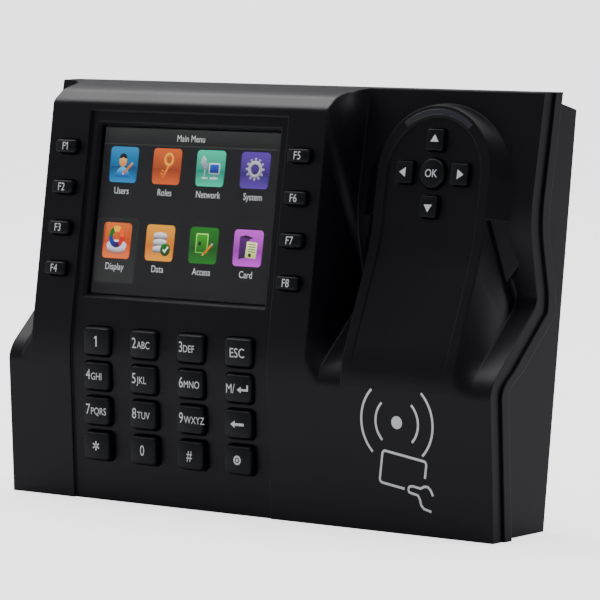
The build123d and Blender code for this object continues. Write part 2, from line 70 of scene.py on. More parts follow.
PAD_LEGENDS = {
    "1": ("1", ""), "2": ("2", "ABC"), "3": ("3", "DEF"), "4": ("4", "GHI"), "5": ("5", "JKL"),
    "6": ("6", "MNO"), "7": ("7", "PQRS"), "8": ("8", "TUV"), "9": ("9", "WXYZ"), "0": ("0", ""),
    "hash": ("#", ""), "esc": ("", "ESC"), "menu": ("", "M/"), "star": ("", ""),
    "back": ("", ""), "power": ("", ""),
}
LABELS = ["Users", "Roles", "Network", "System", "Display", "Data", "Access", "Card"]
TILES = [
    ((0, 74, 116), (58, 186, 222)), ((150, 74, 20), (232, 160, 92)), ((0, 140, 126), (92, 226, 206)),
    ((58, 30, 116), (156, 120, 206)), ((214, 92, 34), (246, 178, 120)), ((214, 128, 8), (246, 206, 84)),
    ((8, 104, 10), (72, 176, 62)), ((160, 28, 176), (230, 130, 238)),
]


# Settings

def length(name, description, millimetres):
    """A length to set, given in millimetres."""
    return FloatProperty(name=name, description=description, default=millimetres * MM, unit="LENGTH")


def colour(name, description, default):
    """A colour to set."""
    return FloatVectorProperty(name=name, description=description, default=default, subtype="COLOR", size=3)


class TerminalKeySettings(bpy.types.PropertyGroup):
    """Sizes of the key caps and their legends"""

    pad_width: length("Number key width", "Width of a number key", 10.6)
    pad_height: length("Number key height", "Height of a number key", 9.0)
    pad_corner: length("Number key corner", "Corner radius of a number key", 1.3)
    fn_width: length("Function key width", "Width of a function key", 8.4)
    fn_height: length("Function key height", "Height of a function key", 4.2)
    fn_corner: length("Function key corner", "Corner radius of a function key", 0.8)
    ok_radius: length("Middle button radius", "Radius of the middle button", 4.6)
    shoulder: length("Shoulder", "Width of the sloping shoulder round a number key's top", 0.75)
    digit_height: length("Digit height", "Height of the digits", 3.3)
    letter_height: length("Letter height", "Height of the small letters", 2.25)
    legend_colour: colour("Legend colour", "Colour of the printed legends", (0.72, 0.73, 0.76))
    cap_colour: colour("Cap colour", "Colour of the key caps", (0.0010, 0.0013, 0.0030))


class TerminalCaseSettings(bpy.types.PropertyGroup):
    """Finish of the casing"""

    cover_colour: colour("Cover colour", "Colour of the front cover", (0.0014, 0.0012, 0.0030))
    housing_colour: colour("Housing colour", "Colour of the rear housing", (0.0024, 0.0022, 0.0046))
    roughness: FloatProperty(name="Roughness", description="Roughness of the satin plastic", default=0.40, min=0.05,
                             max=1.0, subtype="FACTOR")
    edge_round: length("Edge radius", "Softness of the moulded edges", 0.7)
    mark_line: length("Card mark line", "Line width of the card mark", 0.75)
    screw_slots: IntProperty(name="Screw recess arms", description="Arms of the recess in a screw head", default=4,
                             min=3, max=8)


class TerminalScreenSettings(bpy.types.PropertyGroup):
    """Picture on the display"""

    width: length("Lit width", "Width of the lit area", 70.08)
    height: length("Lit height", "Height of the lit area", 52.56)
    tile: length("Tile size", "Side of a menu tile", 11.4)
    glow: FloatProperty(name="Glow", description="Brightness of the display", default=1.45, min=0.0, max=10.0)


class TerminalStageSettings(bpy.types.PropertyGroup):
    """Floor, lights and camera"""

    floor_size: FloatProperty(name="Floor size", description="Side of the floor", default=60.0, unit="LENGTH")
    floor_colour: colour("Floor colour", "Colour of the floor", (0.86, 0.86, 0.87))
    lens: FloatProperty(name="Lens", description="Focal length in millimetres", default=234.02)
    sky: FloatProperty(name="Room light", description="Strength of the light from all round", default=0.28, min=0.0)
    backdrop: FloatProperty(name="Backdrop", description="Extra whiteness of the floor and background", default=1.6)
    sun: FloatProperty(name="Overhead light", description="Strength of the wide light from above", default=2.9)
    top_light: FloatProperty(name="Top light", description="Power of the overhead softbox in watts", default=5.0)
    side_light: FloatProperty(name="Side light", description="Power of the softbox on the left in watts", default=1.3)
    edge_light: FloatProperty(name="Edge light", description="Power of the strip on the right in watts", default=3.0)


# Node building

def feed(tree, node, inputs):
    """Links or sets inputs of a node."""
    for name, value in inputs.items():
        if isinstance(value, bpy.types.NodeSocket):
            tree.links.new(value, node.inputs[name])
        else:
            node.inputs[name].default_value = value
    return node


def add_node(tree, kind, inputs=None, **settings):
    """Adds a node, sets its options, and links or sets its inputs."""
    node = tree.nodes.new(kind)
    for name, value in settings.items():
        setattr(node, name, value)
    return feed(tree, node, inputs or {})


def new_group(name, kind, inputs, outputs):
    """An empty node group with named sockets, its input node and its output node."""
    group = bpy.data.node_groups.new(name, kind)
    for label, socket_kind, value in inputs:
        socket = group.interface.new_socket(label, in_out="INPUT", socket_type=socket_kind)
        if value is not None:
            socket.default_value = value
    for label, socket_kind in outputs:
        group.interface.new_socket(label, in_out="OUTPUT", socket_type=socket_kind)
    return group, group.nodes.new("NodeGroupInput").outputs, group.nodes.new("NodeGroupOutput")


FLOAT, COLOUR, VECTOR = "NodeSocketFloat", "NodeSocketColor", "NodeSocketVector"
GEOMETRY, MATERIAL, INTEGER = "NodeSocketGeometry", "NodeSocketMaterial", "NodeSocketInt"


def math_node(group, operation, first, second=0.0, third=0.0, clamp=False):
    """Result socket of one sum."""
    return add_node(group, "ShaderNodeMath", {0: first, 1: second, 2: third}, operation=operation,
                    use_clamp=clamp).outputs[0]


def times(group, first, second, clamp=False):
    """Result socket of a product."""
    return math_node(group, "MULTIPLY", first, second, clamp=clamp)


def point(group, x=0.0, y=0.0, z=0.0):
    """Vector socket from three values or sockets."""
    return add_node(group, "ShaderNodeCombineXYZ", {0: x, 1: y, 2: z}).outputs[0]


def object_place(group):
    """Coordinates that stay with a piece."""
    return add_node(group, "ShaderNodeTexCoord").outputs["Object"]


# Shared effects of the finishes

def grain_group():
    """Moulded surface: fine height for a bump and a slow patchiness."""
    group, given, result = new_group(
        "moulded_grain", "ShaderNodeTree", [("Scale", FLOAT, 900.0), ("Patch Scale", FLOAT, 30.0)],
        [("Height", FLOAT), ("Patch", FLOAT)])
    place = object_place(group)
    fine = add_node(group, "ShaderNodeTexNoise", {"Vector": place, "Scale": given["Scale"], "Detail": 3.0,
                                                  "Roughness": 0.6})
    slow = add_node(group, "ShaderNodeTexNoise", {"Vector": place, "Scale": given["Patch Scale"], "Detail": 2.0})
    group.links.new(fine.outputs["Fac"], result.inputs["Height"])
    group.links.new(slow.outputs["Fac"], result.inputs["Patch"])
    return group


def edge_group():
    """Mask that is 1 on outer edges, broken up by noise; plastics use it for a painted highlight on their edges,
    metals for worn edges.
    """
    group, given, result = new_group(
        "edge_wear", "ShaderNodeTree", [("Width", FLOAT, 0.0005), ("Amount", FLOAT, 0.5)], [("Mask", FLOAT)])
    soft = add_node(group, "ShaderNodeBevel", {"Radius": given["Width"]}, samples=4)
    flat = add_node(group, "ShaderNodeNewGeometry").outputs["Normal"]
    alike = add_node(group, "ShaderNodeVectorMath", {0: soft.outputs[0], 1: flat}, operation="DOT_PRODUCT")
    bent = math_node(group, "SUBTRACT", 1.0, alike.outputs["Value"], clamp=True)
    place = object_place(group)
    rough = add_node(group, "ShaderNodeTexNoise", {"Vector": place, "Scale": 260.0, "Detail": 4.0})
    broken = times(group, rough.outputs["Fac"], bent)
    grown = times(group, broken, 9.0)
    group.links.new(times(group, grown, given["Amount"], clamp=True), result.inputs["Mask"])
    return group


def dust_group():
    """Thin dust that settles on faces that look up."""
    group, given, result = new_group("dust", "ShaderNodeTree", [("Amount", FLOAT, 0.1)], [("Mask", FLOAT)])
    normal = add_node(group, "ShaderNodeNewGeometry").outputs["Normal"]
    up = add_node(group, "ShaderNodeSeparateXYZ", {0: normal}).outputs["Z"]
    place = object_place(group)
    specks = add_node(group, "ShaderNodeTexNoise", {"Vector": place, "Scale": 700.0, "Detail": 5.0})
    shown = times(group, math_node(group, "MAXIMUM", up, 0.0), specks.outputs["Fac"])
    group.links.new(times(group, shown, given["Amount"], clamp=True), result.inputs["Mask"])
    return group


def new_material(name):
    """A material with one Principled shader, returned with its tree and shader."""
    plain = bpy.data.materials.get(name)
    if plain:
        plain.name = f"plain_{name}"
    material = bpy.data.materials.new(name)
    material.use_nodes = True
    tree = material.node_tree
    return material, tree, tree.nodes["Principled BSDF"]


def effect(tree, name, values=None):
    """Places a shared effect in a material."""
    return add_node(tree, "ShaderNodeGroup", values, node_tree=bpy.data.node_groups[name]).outputs


def blended(tree, factor, first, second):
    """Colour socket that passes from one colour to another."""
    ends = [value if isinstance(value, bpy.types.NodeSocket) else (*value[:3], 1.0)
            for value in (first, second)]
    return add_node(tree, "ShaderNodeMix", {0: factor, 6: ends[0], 7: ends[1]}, data_type="RGBA").outputs[2]


def moulded(name, colour, roughness=0.4, soft=0.0, grain=900.0, height=0.02, dust=0.006, wear_and_highlight=0.3, level=0.2):
    """Moulded plastic or rubber with grain, softened edges, a faint painted edge highlight and dust."""
    material, tree, shader = new_material(name)
    grain_out = effect(tree, "moulded_grain", {"Scale": grain})
    wear_and_highlight_out = effect(tree, "edge_wear", {"Width": max(soft, 0.0003), "Amount": wear_and_highlight})
    dust_out = effect(tree, "dust", {"Amount": dust})
    lighter = tuple(min(1.0, c * 1.35 + 0.0008) for c in colour)
    tinted = blended(tree, grain_out["Patch"], tuple(colour), lighter)
    # Painted highlight: the edges are lightened in colour to stand in for light catching them; their roughness is
    # lowered too.
    edge_highlighted = blended(tree, wear_and_highlight_out["Mask"], tinted, tuple(min(1.0, c * 3.0 + 0.012) for c in colour))
    dusty = blended(tree, dust_out["Mask"], edge_highlighted, (0.35, 0.35, 0.36))
    uneven = math_node(tree, "MULTIPLY_ADD", grain_out["Patch"], 0.10, roughness - 0.05)
    smoother = math_node(tree, "MULTIPLY_ADD", wear_and_highlight_out["Mask"], -0.10, uneven)
    bump = add_node(tree, "ShaderNodeBump", {"Height": grain_out["Height"], "Strength": 0.5,
                                             "Distance": height * MM})
    if soft:
        rounded = add_node(tree, "ShaderNodeBevel", {"Radius": soft}, samples=6)
        tree.links.new(rounded.outputs[0], bump.inputs["Normal"])
    feed(tree, shader, {"Base Color": dusty, "Roughness": smoother, "Normal": bump.outputs[0],
                        "Specular IOR Level": level})
    return material


def metal(name, colour, roughness=0.3, brushed=(40.0, 40.0, 900.0), wear_and_highlight=0.2):
    """Sheet or turned metal with a brushed or rolled surface."""
    material, tree, shader = new_material(name)
    place = object_place(tree)
    stretched = add_node(tree, "ShaderNodeMapping", {"Vector": place, "Scale": brushed}).outputs[0]
    lines = add_node(tree, "ShaderNodeTexNoise", {"Vector": stretched, "Scale": 1.0, "Detail": 4.0}).outputs["Fac"]
    wear_and_highlight_out = effect(tree, "edge_wear", {"Width": 0.0004, "Amount": wear_and_highlight})
    darker = tuple(c * 0.72 for c in colour)
    toned = blended(tree, lines, darker, tuple(colour))
    bump = add_node(tree, "ShaderNodeBump", {"Height": lines, "Strength": 0.25, "Distance": 0.01 * MM})
    feed(tree, shader, {
        "Base Color": blended(tree, wear_and_highlight_out["Mask"], toned, tuple(min(1.0, c * 1.2) for c in colour)),
        "Roughness": math_node(tree, "MULTIPLY_ADD", lines, 0.18, roughness - 0.09),
        "Normal": bump.outputs[0], "Metallic": 1.0})
    return material


def circuit_finish():
    """Green solder mask over copper tracks."""
    material, tree, shader = new_material("board_green")
    place = object_place(tree)
    cells = add_node(tree, "ShaderNodeTexVoronoi", {"Vector": place, "Scale": 420.0}, feature="DISTANCE_TO_EDGE",
                     distance="EUCLIDEAN")
    track = math_node(tree, "LESS_THAN", cells.outputs["Distance"], 0.12)
    bump = add_node(tree, "ShaderNodeBump", {"Height": track, "Strength": 0.4, "Distance": 0.03 * MM})
    feed(tree, shader, {"Base Color": blended(tree, track, (0.010, 0.085, 0.030), (0.030, 0.170, 0.055)),
                        "Normal": bump.outputs[0], "Roughness": 0.35})
    return material


def glass_finish():
    """Clear window, thin enough to show the display plainly, with faint smears."""
    material, tree, shader = new_material("window_glass")
    slow = effect(tree, "moulded_grain", {"Scale": 60.0, "Patch Scale": 45.0})["Patch"]
    feed(tree, shader, {"Roughness": math_node(tree, "MULTIPLY_ADD", slow, 0.10, 0.03),
                        "Alpha": math_node(tree, "MULTIPLY_ADD", slow, 0.02, 0.03),
                        "Base Color": (0.02, 0.02, 0.024, 1.0)})
    return material


def picture_finish(glow):
    """The display's picture, coloured point by point."""
    material, tree, shader = new_material("screen_picture")
    colour = add_node(tree, "ShaderNodeVertexColor", layer_name="picture").outputs["Color"]
    place = object_place(tree)
    cells = add_node(tree, "ShaderNodeTexWave", {"Vector": place, "Scale": 4400.0}, bands_direction="X")
    dimmer = blended(tree, times(tree, cells.outputs["Fac"], 0.08), colour, (0.0, 0.0, 0.0))
    feed(tree, shader, {"Emission Color": dimmer, "Emission Strength": glow,
                        "Base Color": (0.004, 0.004, 0.005, 1.0), "Roughness": 0.5})
    return material


def print_finish(name, colour):
    """Screen-printed ink, a little uneven."""
    material, tree, shader = new_material(name)
    out = effect(tree, "moulded_grain", {"Scale": 2600.0, "Patch Scale": 500.0})
    bump = add_node(tree, "ShaderNodeBump", {"Height": out["Height"], "Strength": 0.2, "Distance": 0.01 * MM})
    feed(tree, shader, {"Base Color": blended(tree, out["Patch"], tuple(c * 0.86 for c in colour), colour),
                        "Normal": bump.outputs[0], "Roughness": 0.55})
    return material


# Growing pieces with node trees

def joined(tree, parts):
    """Geometry socket with all parts."""
    node = tree.nodes.new("GeometryNodeJoinGeometry")
    for part in parts:
        tree.links.new(part, node.inputs[0])
    return node.outputs[0]


def moved(tree, geometry, offset):
    """Geometry socket shifted by an offset."""
    return add_node(tree, "GeometryNodeTransform", {"Geometry": geometry, "Translation": offset}).outputs[0]


def hand_out(tree, geometry, material, result):
    """Ends a tree with real meshes in their material."""
    real = add_node(tree, "GeometryNodeRealizeInstances", {0: geometry}).outputs[0]
    done = add_node(tree, "GeometryNodeSetMaterial", {"Geometry": real, "Material": material})
    tree.links.new(done.outputs[0], result.inputs[0])
    return tree


def key_tree():
    """A key: rounded top, sloping shoulder, straight sides, flange and plunger, its top at the origin."""
    tree, given, result = new_group("key_cap", "GeometryNodeTree", [
        ("Width", FLOAT, 0.0106), ("Height", FLOAT, 0.009), ("Corner", FLOAT, 0.0013), ("Shoulder", FLOAT, 0.0007),
        ("Drop", FLOAT, 0.0013), ("Depth", FLOAT, 0.0046), ("Lip", FLOAT, 0.00065), ("Flange", FLOAT, 0.001),
        ("Plunger", FLOAT, 0.0015), ("Plunger Length", FLOAT, 0.0009), ("Material", MATERIAL, None)],
        [("Geometry", GEOMETRY)])

    def outline(inset, corner):
        wide = math_node(tree, "MULTIPLY_ADD", inset, -2.0, given["Width"])
        high = math_node(tree, "MULTIPLY_ADD", inset, -2.0, given["Height"])
        flat = add_node(tree, "GeometryNodeCurvePrimitiveQuadrilateral", {"Width": wide, "Height": high})
        fillet = add_node(tree, "GeometryNodeFilletCurve", {"Curve": flat.outputs[0], "Radius": corner,
                                                            "Count": 8, "Limit Radius": True}, mode="POLY")
        return fillet.outputs[0]

    inner_corner = math_node(tree, "SUBTRACT", given["Corner"], times(tree, given["Shoulder"], 0.6))
    path = outline(given["Shoulder"], inner_corner)
    low = times(tree, given["Depth"], -1.0)
    knee_point = point(tree, x=given["Shoulder"], y=given["Drop"])
    foot_point = point(tree, x=given["Shoulder"], y=given["Depth"])
    under_point = point(tree, y=given["Depth"])
    edge_handle = point(tree, x=times(tree, given["Shoulder"], 0.45), y=times(tree, given["Drop"], 0.04))
    knee_handle = point(tree, x=times(tree, given["Shoulder"], 0.92), y=times(tree, given["Drop"], 0.5))
    slope = add_node(tree, "GeometryNodeCurvePrimitiveBezierSegment", {
        "Resolution": 8, "Start": (0.0, 0.0, 0.0), "Start Handle": edge_handle, "End Handle": knee_handle,
        "End": knee_point}).outputs[0]
    side = add_node(tree, "GeometryNodeCurvePrimitiveLine", {"Start": knee_point, "End": foot_point}).outputs[0]
    under = add_node(tree, "GeometryNodeCurvePrimitiveLine", {"Start": foot_point, "End": under_point}).outputs[0]
    walls = [add_node(tree, "GeometryNodeCurveToMesh", {"Curve": path, "Profile Curve": line}).outputs[0]
             for line in (slope, side, under)]
    top = add_node(tree, "GeometryNodeFillCurve", {"Curve": path}, mode="NGONS").outputs[0]
    sunk = point(tree, z=low)
    floor = moved(tree, top, sunk)
    bottom = add_node(tree, "GeometryNodeFlipFaces", {"Mesh": floor}).outputs[0]
    welded = add_node(tree, "GeometryNodeMergeByDistance", {
        "Geometry": joined(tree, (top, *walls, bottom)), "Distance": 1e-6}).outputs[0]

    wide = math_node(tree, "MULTIPLY_ADD", given["Lip"], 2.0, given["Width"])
    high = math_node(tree, "MULTIPLY_ADD", given["Lip"], 2.0, given["Height"])
    size = point(tree, x=wide, y=high, z=given["Flange"])
    plate = add_node(tree, "GeometryNodeMeshCube", {"Size": size}).outputs[0]
    half = math_node(tree, "MULTIPLY_ADD", given["Flange"], -0.5, low)
    plate_at = point(tree, z=half)
    flange = moved(tree, plate, plate_at)
    stem = add_node(tree, "GeometryNodeMeshCylinder", {"Vertices": 24, "Radius": given["Plunger"],
                                                       "Depth": given["Plunger Length"]}).outputs[0]
    stem_low = math_node(tree, "MULTIPLY_ADD", given["Plunger Length"], -0.5,
                         math_node(tree, "SUBTRACT", low, given["Flange"]))
    stem_at = point(tree, z=stem_low)
    plunger = moved(tree, stem, stem_at)
    return hand_out(tree, joined(tree, (welded, flange, plunger)), given["Material"], result)


def line_tree():
    """A printed line of even width along every edge of a flat drawing."""
    tree, given, result = new_group("printed_line", "GeometryNodeTree", [
        ("Drawing", GEOMETRY, None), ("Width", FLOAT, 0.00075), ("Material", MATERIAL, None)],
        [("Geometry", GEOMETRY)])
    path = add_node(tree, "GeometryNodeMeshToCurve", {"Mesh": given["Drawing"]}).outputs[0]
    half = times(tree, given["Width"], 0.5)
    left = point(tree, x=times(tree, half, -1.0))
    right = point(tree, x=half)
    across = add_node(tree, "GeometryNodeCurvePrimitiveLine", {"Start": left, "End": right}).outputs[0]
    ribbon = add_node(tree, "GeometryNodeCurveToMesh", {"Curve": path, "Profile Curve": across}).outputs[0]
    return hand_out(tree, ribbon, given["Material"], result)


def screw_tree():
    """Pan heads with a driver recess and their shanks, one on each given point, heads along +Z."""
    tree, given, result = new_group("case_screw", "GeometryNodeTree", [
        ("Points", GEOMETRY, None), ("Head", FLOAT, 0.0028), ("Rise", FLOAT, 0.0025), ("Shank", FLOAT, 0.0015),
        ("Length", FLOAT, 0.017), ("Arms", INTEGER, 4), ("Turn", VECTOR, None), ("Material", MATERIAL, None)],
        [("Geometry", GEOMETRY)])
    start = point(tree, z=times(tree, given["Length"], -1.0))
    spine = add_node(tree, "GeometryNodeCurvePrimitiveLine", {"Start": start, "End": (0.0, 0.0, 0.0)}).outputs[0]
    ring = add_node(tree, "GeometryNodeCurvePrimitiveCircle", {"Resolution": 20, "Radius": given["Shank"]})
    shank = add_node(tree, "GeometryNodeCurveToMesh", {"Curve": spine, "Profile Curve": ring.outputs[0],
                                                       "Fill Caps": True}).outputs[0]
    dome_low = add_node(tree, "GeometryNodeMeshCylinder", {"Vertices": 40, "Radius": given["Head"],
                                                           "Depth": given["Rise"]}, fill_type="NGON")
    lift = point(tree, z=times(tree, given["Rise"], 0.5))
    raised = moved(tree, dome_low.outputs["Mesh"], lift)
    shrink = add_node(tree, "GeometryNodeScaleElements", {"Geometry": raised,
                                                          "Selection": dome_low.outputs["Top"], "Scale": 0.72})
    arm = point(tree, x=given["Head"], y=times(tree, given["Head"], 0.2), z=given["Rise"])
    blade = add_node(tree, "GeometryNodeMeshCube", {"Size": arm}).outputs[0]
    blade_at = point(tree, z=given["Rise"])
    spots = add_node(tree, "GeometryNodeCurvePrimitiveCircle", {"Resolution": given["Arms"], "Radius": 1e-6})
    index = add_node(tree, "GeometryNodeInputIndex").outputs[0]
    turn = math_node(tree, "DIVIDE", times(tree, index, math.tau), given["Arms"])
    spin = point(tree, z=turn)
    arms = add_node(tree, "GeometryNodeInstanceOnPoints", {"Points": spots.outputs[0], "Instance": blade,
                                                           "Rotation": spin}).outputs[0]
    arms_up = moved(tree, arms, blade_at)
    cutter = add_node(tree, "GeometryNodeRealizeInstances", {0: arms_up}).outputs[0]
    head = add_node(tree, "GeometryNodeMeshBoolean", {"Mesh 1": shrink.outputs[0], "Mesh 2": cutter},
                    operation="DIFFERENCE").outputs[0]
    placed = add_node(tree, "GeometryNodeInstanceOnPoints", {"Points": given["Points"],
                                                             "Instance": joined(tree, (head, shank)),
                                                             "Rotation": given["Turn"]}).outputs[0]
    return hand_out(tree, placed, given["Material"], result)


def new_object(name, data):
    """Object in the scene."""
    piece = bpy.data.objects.new(name, data)
    bpy.context.scene.collection.objects.link(piece)
    return piece


def plain_mesh(piece):
    """Mesh of an object with its modifiers, or its text, worked out."""
    bpy.context.view_layer.update()
    return bpy.data.meshes.new_from_object(piece.evaluated_get(bpy.context.evaluated_depsgraph_get()))


def mesh_from(shell, name):
    """Mesh from a finished edit mesh."""
    data = bpy.data.meshes.new(name)
    shell.to_mesh(data)
    shell.free()
    return data


def grown(name, tree_name, values, source=None):
    """Object with the plain mesh that a node tree grows."""
    tree = bpy.data.node_groups[tree_name]
    piece = new_object(name, source or bpy.data.meshes.new(name))
    modifier = piece.modifiers.new("grow", "NODES")
    modifier.node_group = tree
    sockets = {item.name: item.identifier for item in tree.interface.items_tree if item.in_out == "INPUT"}
    for label, value in values.items():
        modifier[sockets[label]] = value
    mesh = plain_mesh(piece)
    piece.modifiers.clear()
    piece.data = mesh
    mesh.name = name
    if not mesh.polygons:
        raise RuntimeError(f"{name} came out empty")
    return piece


# Placing pieces

def across(tilt):
    """Directions right, up and out of a face that leans back by tilt degrees."""
    lean = math.radians(tilt)
    sine, cosine = math.sin(lean), math.cos(lean)
    return Vector((1, 0, 0)), Vector((0, sine, cosine)), Vector((0, -cosine, sine))


def facing(origin, tilt):
    """Placing matrix of a face that leans back, at a point."""
    matrix = Matrix(across(tilt)).transposed().to_4x4()
    matrix.translation = origin
    return matrix


def front_of(name, tilt):
    """Placing matrix on the front of a CAD node, at its middle, and the node's size right, up and out."""
    axes = across(tilt)
    reaches = [[vertex.co.dot(axis) for vertex in nodes[name].data.vertices] for axis in axes]
    right, up, out = ((min(reach), max(reach)) for reach in reaches)
    middle = axes[0] * sum(right) / 2 + axes[1] * sum(up) / 2 + axes[2] * out[1]
    return facing(middle, tilt), [high - low for low, high in (right, up, out)]


def shade(mesh, angle=32.0):
    """Smooth faces with sharp creases above an angle."""
    mesh.shade_smooth()
    mesh.set_sharp_from_angle(angle=math.radians(angle))


def rides(piece, body, replaced=()):
    """Hands a finished piece to the frame."""
    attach(piece, body)
    if replaced:
        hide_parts(*replaced)
    return piece


def hand_key(piece, node):
    """Smooths a key cap and hands it over in place of its CAD node."""
    shade(piece.data)
    rides(piece, f"{node}_cap", [node])


def grow_key(node, matrix, sizes):
    """Grows one key cap with its top on a plane."""
    piece = grown(f"{node}_cap", "key_cap", {**sizes, "Material": bpy.data.materials["key_plastic"]})
    piece.data.transform(matrix)
    hand_key(piece, node)


def print_legend(node, matrix, art):
    """Prints a drawing on a key's top, a little proud of it."""
    raised = matrix @ Matrix.Translation((0, 0, PRINT))
    legend = art.finish(f"{node}_legend", raised, bpy.data.materials["legend_ink"])
    rides(legend, f"{node}_cap")


def polar(radius, degrees, x=0.0, y=0.0):
    """Point at a distance and an angle from (x, y)."""
    return x + radius * math.cos(math.radians(degrees)), y + radius * math.sin(math.radians(degrees))


def turned(u, v, degrees):
    """Flat point turned about the origin."""
    c, s = math.cos(math.radians(degrees)), math.sin(math.radians(degrees))
    return u * c - v * s, u * s + v * c


def srgb(colour):
    """Linear colour from the usual 0 to 255 values."""
    return tuple((c / 255.0 / 12.92) if c <= 10 else ((c / 255.0 + 0.055) / 1.055) ** 2.4 for c in colour)


class Artwork:
    """A flat drawing of coloured shapes in millimetres, stacked in thin levels."""

    def __init__(self):
        self.mesh = bmesh.new()
        self.tint = self.mesh.loops.layers.color.new("picture")

    def face(self, points, colour, level=0, low=None):
        """A filled outline; with low, its colour passes from low at the bottom to colour at the top."""
        corners = [self.mesh.verts.new((x * MM, y * MM, level * LEVEL)) for x, y in points]
        area = sum(a[0] * b[1] - b[0] * a[1] for a, b in zip(points, points[1:] + points[:1]))
        if area < 0:
            corners.reverse()
        face = self.mesh.faces.new(corners)
        heights = [corner.co.y for corner in corners]
        span = max(max(heights) - min(heights), 1e-9)
        top, bottom = srgb(colour), srgb(low or colour)
        for loop in face.loops:
            part = (loop.vert.co.y - min(heights)) / span
            loop[self.tint] = (*(b + (t - b) * part for t, b in zip(top, bottom)), 1.0)

    def ring(self, x, y, outer, inner, colour, level=0, low=None, start=0.0, end=360.0, steps=32, flat=1.0):
        """Part of a ring, or a disc where inner is 0; flat squashes it upwards."""
        whole = end - start >= 360.0
        if inner <= 0 and whole:
            turns = [math.tau * i / steps for i in range(steps)]
            self.face([(x + outer * math.cos(t), y + flat * outer * math.sin(t)) for t in turns], colour, level, low)
            return
        for i in range(steps):
            a, b = (math.radians(start + (end - start) * (i + k) / steps) for k in (0, 1))
            self.face([(x + r * math.cos(t), y + flat * r * math.sin(t))
                       for r, t in ((inner, a), (outer, a), (outer, b), (inner, b))], colour, level, low)

    def box(self, x, y, w, h, colour, level=0, low=None, corner=0.0, turn=0.0):
        """A rectangle with rounded corners, turned about its middle."""
        points = []
        for cx, cy, quarter in ((1, 1, 0), (-1, 1, 90), (-1, -1, 180), (1, -1, 270)):
            mx, my = cx * (w / 2 - corner), cy * (h / 2 - corner)
            angles = [quarter + 90 * i / 6 for i in range(7)] if corner else [quarter + 45]
            points += [polar(corner, a, mx, my) for a in angles]
        spun = [turned(px, py, turn) for px, py in points]
        self.face([(x + px, y + py) for px, py in spun], colour, level, low)

    def words(self, text, x, y, height, colour, level=0, squeeze=0.85, align="CENTER"):
        """A line of text standing on y."""
        curve = bpy.data.curves.new("words", "FONT")
        curve.body = text
        curve.size = height * MM / 0.70
        curve.resolution_u = 4
        holder = new_object("words", curve)
        flat = plain_mesh(holder)
        bpy.data.objects.remove(holder)
        bpy.data.curves.remove(curve)
        reach = [vertex.co.x * squeeze for vertex in flat.vertices]
        shift = {"LEFT": 0.0, "CENTER": -0.5, "RIGHT": -1.0}[align] * (max(reach) - min(reach)) - min(reach)
        corners = [self.mesh.verts.new((vertex.co.x * squeeze + shift + x * MM, vertex.co.y + y * MM,
                                        level * LEVEL)) for vertex in flat.vertices]
        for polygon in flat.polygons:
            face = self.mesh.faces.new([corners[i] for i in polygon.vertices])
            for loop in face.loops:
                loop[self.tint] = (*srgb(colour), 1.0)
        bpy.data.meshes.remove(flat)
        return max(reach) / MM - min(reach) / MM

    def finish(self, name, matrix, material):
        """The drawing as an object on a plane."""
        for face in self.mesh.faces:
            face.normal_update()
            if face.normal.z < 0:
                face.normal_flip()
        data = mesh_from(self.mesh, name)
        data.transform(matrix)
        data.materials.append(material)
        return new_object(name, data)


WHITE = (255, 255, 255)

# Card mark, in millimetres above the base, and degrees
WAVE_CENTRE, WAVE_RADII, WAVE_SPREAD = 33.5, (7.8, 13.1), 46.0
CARD_AT, CARD_HALF, CARD_CORNER, CARD_TURN = (1.9, 18.8), (7.0, 3.8), 1.1, -8.5


def flag(art, x, top):
    """The stroke at the top of a figure one, left of its stem."""
    art.face([(x, top), (x - 0.6, top - 0.55), (x - 0.6, top - 0.95), (x, top - 0.5)], WHITE)


def legend_pen(art, name, keys):
    """Draws one number key's legend."""
    big, small = PAD_LEGENDS[name]
    digit, letter = keys.digit_height / MM, keys.letter_height / MM
    if big and small:
        wide = art.words(big, -4.0, -1.1, digit, WHITE, 0, 0.80, "LEFT")
        art.words(small, -4.0 + wide + 0.35, -1.1, letter, WHITE, 0, 0.84, "LEFT")
    elif big == "1":
        art.box(0.25, digit / 2 - 1.6, 0.5, digit, WHITE)
        flag(art, 0.0, digit - 1.6)
    elif big:
        art.words(big, 0, -1.6, digit, WHITE, 0, 0.80)
    elif small == "ESC":
        art.words(small, 0, -1.45, 2.9, WHITE, 0, 0.88)
    elif small:
        art.words(small, -4.2, -1.45, 2.9, WHITE, 0, 0.80, "LEFT")
        art.face([(-0.1, -0.3), (1.5, 0.7), (1.5, -1.3)], WHITE)
        art.face([(1.5, -0.62), (4.3, -0.62), (4.3, 0.02), (1.5, 0.02)], WHITE)
        art.face([(3.7, 0.02), (4.3, 0.02), (4.3, 1.3), (3.7, 1.3)], WHITE)
    elif name == "star":
        for turn in (90, 30, -30):
            art.box(0, 0, 2.9, 0.5, WHITE, 0, turn=turn)
    elif name == "back":
        art.face([(-2.6, 0.0), (-0.9, 1.15), (-0.9, -1.15)], WHITE)
        art.face([(-0.9, -0.42), (2.6, -0.42), (2.6, 0.42), (-0.9, 0.42)], WHITE)
    else:
        art.ring(0, 0, 1.45, 0.85, WHITE)
        art.ring(0, 0, 0.5, 0, WHITE)


def pencil(art, x, y, level):
    """Small yellow pencil."""
    art.box(x, y, 4.6, 0.75, (240, 190, 60), level, (214, 150, 30), 0.1, 45)
    art.box(x + 1.5, y + 1.5, 0.7, 0.8, (200, 200, 205), level + 1, turn=45)
    art.face([(x - 2.2, y - 2.2), (x - 1.9, y - 1.35), (x - 1.35, y - 1.9)], (240, 220, 180), level + 1)


